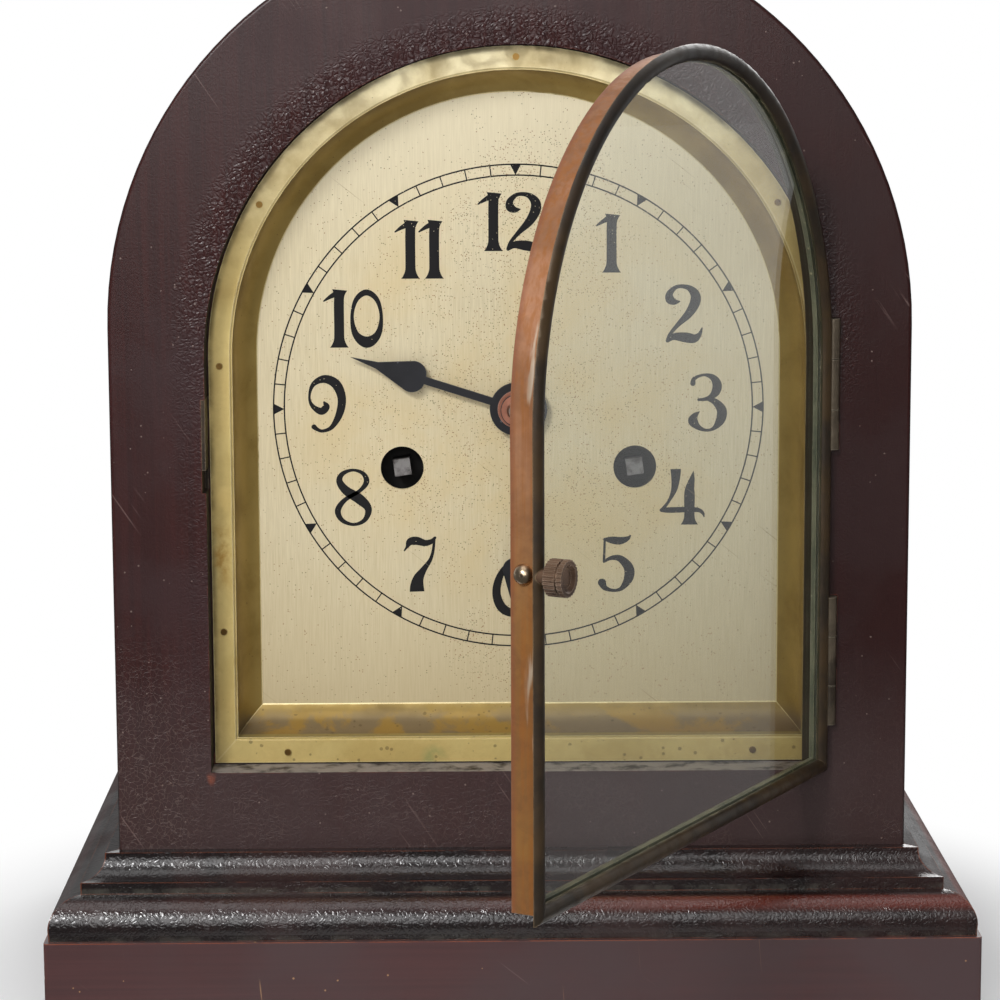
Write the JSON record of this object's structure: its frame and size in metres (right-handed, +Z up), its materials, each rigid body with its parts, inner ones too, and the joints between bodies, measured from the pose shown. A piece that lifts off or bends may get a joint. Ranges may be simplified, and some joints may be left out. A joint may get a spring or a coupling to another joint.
{
  "type": "shelf clock",
  "caption": "Round-topped wooden shelf clock with a hinged arched brass door, silvered dial, striking spring movement, pendulum and coil gong.",
  "frame": {"origin": "centre of the base underside", "axes": "+X to the viewer's right, +Y from the dial to the back, +Z up"},
  "size_m": [0.2406, 0.2924, 0.2844],
  "materials": {
    "varnished_wood": "dark red-brown gloss varnish, crackled",
    "plain_wood": "thin matt stain",
    "silvered_brass": "silvered, vertical brushing",
    "bright_brass": "polished, tarnished",
    "worn_brass": "brown patina",
    "dark_bronze": "dark patina",
    "window_glass": "clear",
    "blued_steel": "blued",
    "steel": "polished",
    "cast_iron": "black paint"
  },
  "bodies": {
    "case": {"base_plinth": "varnished_wood", "base_moulding_front": "varnished_wood", "base_moulding_left": "varnished_wood", "base_moulding_right": "varnished_wood", "case_front": "varnished_wood", "case_shell": "varnished_wood", "back_board": "plain_wood", "dial_plate": "silvered_brass", "surround_arch": "bright_brass", "surround_sill": "bright_brass", "surround_pins": "bright_brass", "front_plate": "bright_brass", "back_plate": "bright_brass", "plate_pillars": "bright_brass", "movement_brackets": "bright_brass", "suspension_cock": "bright_brass", "back_hinge_board_leaves": "bright_brass", "strike_plate": "worn_brass", "hinge_case_leaves": "dark_bronze", "hinge_pins": "dark_bronze", "gong": "blued_steel", "pillar_nuts": "steel", "gong_stand": "cast_iron"},
    "door": {"door_frame": "worn_brass", "door_glass": "window_glass", "glass_retainer": "worn_brass", "door_knob": "dark_bronze", "catch_stud": "worn_brass", "hinge_door_leaves": "dark_bronze"},
    "back_door": {"back_door": "plain_wood", "back_hinge_door_leaves": "bright_brass"},
    "back_button": {"turn_button": "plain_wood"},
    "minute_hand": {"cannon_pinion": "bright_brass", "minute_hand": "blued_steel", "hand_nut": "steel"},
    "minute_wheel": {"minute_wheel": "bright_brass"},
    "hour_hand": {"hour_wheel": "bright_brass", "hour_collet": "worn_brass", "hour_hand": "blued_steel"},
    "going_barrel": {"going_barrel": "bright_brass", "going_mainspring": "steel"},
    "going_arbor": {"going_winding_arbor": "steel"},
    "going_click": {"going_click": "steel"},
    "intermediate_wheel": {"intermediate_wheel": "bright_brass"},
    "centre_wheel": {"centre_wheel": "bright_brass"},
    "third_wheel": {"third_wheel": "bright_brass"},
    "escape_wheel": {"escape_wheel": "bright_brass"},
    "pallets": {"pallets": "steel"},
    "pendulum": {"suspension_spring": "steel", "pendulum_rod": "steel", "pendulum_bob": "bright_brass"},
    "rating_nut": {"rating_nut": "bright_brass"},
    "strike_barrel": {"strike_barrel": "bright_brass", "strike_mainspring": "steel"},
    "strike_arbor": {"strike_winding_arbor": "steel"},
    "strike_click": {"strike_click": "steel"},
    "pin_wheel": {"pin_wheel": "bright_brass"},
    "strike_third_wheel": {"strike_third_wheel": "bright_brass"},
    "fly": {"fly": "bright_brass"},
    "hammer": {"hammer": "steel"}
  },
  "joints": [
    {"name": "door_swing", "type": "hinge", "parent": "case", "child": "door", "pos_m": [0.0821, -0.0634, 0.1587], "axis": [0, 0, 1], "range_deg": [-60.6, 109.4]},
    {"name": "back_door_swing", "type": "hinge", "parent": "case", "child": "back_door", "pos_m": [0.0625, 0.0819, 0.15], "axis": [0, 0, -1], "range_deg": [0, 115]},
    {"name": "button_turn", "type": "hinge", "parent": "case", "child": "back_button", "pos_m": [-0.07, 0.0815, 0.128], "axis": [0, 1, 0], "range_deg": [0, 90]},
    {"name": "hand_setting", "type": "hinge", "parent": "case", "child": "minute_hand", "pos_m": [0.0018, -0.0413, 0.1587], "axis": [0, 1, 0], "continuous": true},
    {"name": "minute_wheel_turn", "type": "hinge", "parent": "case", "child": "minute_wheel", "pos_m": [0.0018, -0.033, 0.1731], "axis": [0, 1, 0], "continuous": true},
    {"name": "hour_hand_turn", "type": "hinge", "parent": "case", "child": "hour_hand", "pos_m": [0.0018, -0.0413, 0.1587], "axis": [0, 1, 0], "continuous": true},
    {"name": "third_wheel_turn", "type": "hinge", "parent": "case", "child": "third_wheel", "pos_m": [-0.01123, -0.013, 0.17593], "axis": [0, 1, 0], "continuous": true},
    {"name": "centre_wheel_turn", "type": "hinge", "parent": "case", "child": "centre_wheel", "pos_m": [0.0018, -0.013, 0.1587], "axis": [0, 1, 0], "continuous": true},
    {"name": "intermediate_wheel_turn", "type": "hinge", "parent": "case", "child": "intermediate_wheel", "pos_m": [0.02093, -0.013, 0.16967], "axis": [0, 1, 0], "continuous": true},
    {"name": "going_barrel_turn", "type": "hinge", "parent": "case", "child": "going_barrel", "pos_m": [0.0318, -0.013, 0.143], "axis": [0, 1, 0], "continuous": true},
    {"name": "escape_wheel_turn", "type": "hinge", "parent": "case", "child": "escape_wheel", "pos_m": [0.0018, -0.013, 0.18432], "axis": [0, 1, 0], "continuous": true},
    {"name": "pendulum_swing", "type": "hinge", "parent": "case", "child": "pendulum", "pos_m": [0.0018, 0.01275, 0.19988], "axis": [0, 1, 0], "range_deg": [-4, 4]},
    {"name": "pallets_rock", "type": "hinge", "parent": "case", "child": "pallets", "pos_m": [0.0018, -0.013, 0.19988], "axis": [0, 1, 0], "range_deg": [-4, 4]},
    {"name": "rating_nut_turn", "type": "hinge", "parent": "pendulum", "child": "rating_nut", "pos_m": [0.0018, 0.01275, 0.06403], "axis": [0, 0, 1], "continuous": true},
    {"name": "going_winding", "type": "hinge", "parent": "case", "child": "going_arbor", "pos_m": [0.0318, -0.0413, 0.143], "axis": [0, 1, 0], "range_deg": [0, 1800]},
    {"name": "going_click_lift", "type": "hinge", "parent": "case", "child": "going_click", "pos_m": [0.0318, -0.032, 0.129], "axis": [0, 1, 0], "range_deg": [0, 12], "stiffness_Nm_per_rad": 0.002, "springref_deg": -20.05},
    {"name": "strike_winding", "type": "hinge", "parent": "case", "child": "strike_arbor", "pos_m": [-0.0282, -0.0413, 0.143], "axis": [0, 1, 0], "range_deg": [0, 1800]},
    {"name": "strike_click_lift", "type": "hinge", "parent": "case", "child": "strike_click", "pos_m": [-0.0282, -0.032, 0.129], "axis": [0, -1, 0], "range_deg": [0, 12], "stiffness_Nm_per_rad": 0.002, "springref_deg": -20.05},
    {"name": "hammer_lift", "type": "hinge", "parent": "case", "child": "hammer", "pos_m": [-0.0502, 0, 0.1607], "axis": [0, 1, 0], "range_deg": [0, 12]},
    {"name": "pin_wheel_turn", "type": "hinge", "parent": "case", "child": "pin_wheel", "pos_m": [-0.03419, -0.013, 0.17117], "axis": [0, -1, 0], "range_deg": [0, 8]},
    {"name": "strike_barrel_turn", "type": "hinge", "parent": "case", "child": "strike_barrel", "pos_m": [-0.0282, -0.013, 0.143], "axis": [0, 1, 0], "range_deg": [0, 1.15]},
    {"name": "strike_third_wheel_turn", "type": "hinge", "parent": "case", "child": "strike_third_wheel", "pos_m": [-0.02443, -0.013, 0.18485], "axis": [0, 1, 0], "range_deg": [0, 48]},
    {"name": "fly_turn", "type": "hinge", "parent": "case", "child": "fly", "pos_m": [-0.01642, -0.013, 0.19344], "axis": [0, -1, 0], "range_deg": [0, 274.5]}
  ],
  "couplings": [
    {"joint": "minute_wheel_turn", "follows": "hand_setting", "ratio": -0.33333},
    {"joint": "hour_hand_turn", "follows": "hand_setting", "ratio": 0.083333},
    {"joint": "centre_wheel_turn", "follows": "third_wheel_turn", "ratio": -0.125},
    {"joint": "intermediate_wheel_turn", "follows": "third_wheel_turn", "ratio": 0.020833},
    {"joint": "going_barrel_turn", "follows": "third_wheel_turn", "ratio": -0.0029762},
    {"joint": "escape_wheel_turn", "follows": "third_wheel_turn", "ratio": -6.75},
    {"joint": "pallets_rock", "follows": "pendulum_swing", "ratio": 1},
    {"joint": "pin_wheel_turn", "follows": "hammer_lift", "ratio": 0.66667},
    {"joint": "strike_barrel_turn", "follows": "hammer_lift", "ratio": 0.095238},
    {"joint": "strike_third_wheel_turn", "follows": "hammer_lift", "ratio": 4},
    {"joint": "fly_turn", "follows": "hammer_lift", "ratio": 22.857}
  ]
}
